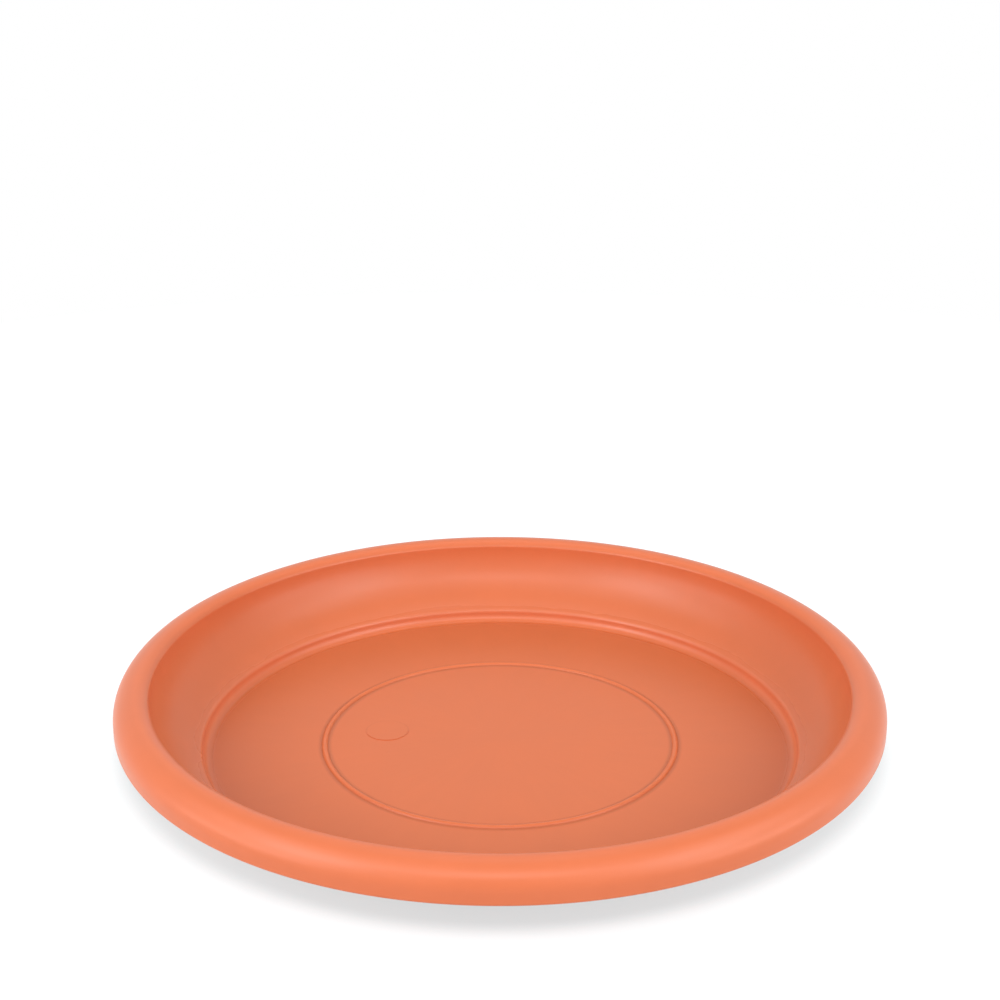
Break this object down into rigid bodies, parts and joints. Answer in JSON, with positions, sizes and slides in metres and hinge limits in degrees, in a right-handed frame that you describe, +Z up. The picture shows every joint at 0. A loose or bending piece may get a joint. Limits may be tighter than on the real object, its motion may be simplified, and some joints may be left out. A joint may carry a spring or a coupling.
{
  "type": "plant saucer",
  "caption": "Round shallow saucer with a flat floor, low step, curved wall and rolled hollow rim; stands under a plant pot and catches its water.",
  "frame": {"origin": "middle of the plane that the foot ring stands on", "axes": "+Z up along the saucer's axis, out of the open side; +X to the right and +Y away from the viewer in the picture, with the round floor mark at the left, 171 degrees round from +X"},
  "size_m": [0.3, 0.3, 0.0335],
  "materials": {
    "moulding": "satin terracotta-coloured moulded plastic with a very fine even grain"
  },
  "bodies": {
    "root": {"saucer": "moulding"}
  },
  "joints": []
}
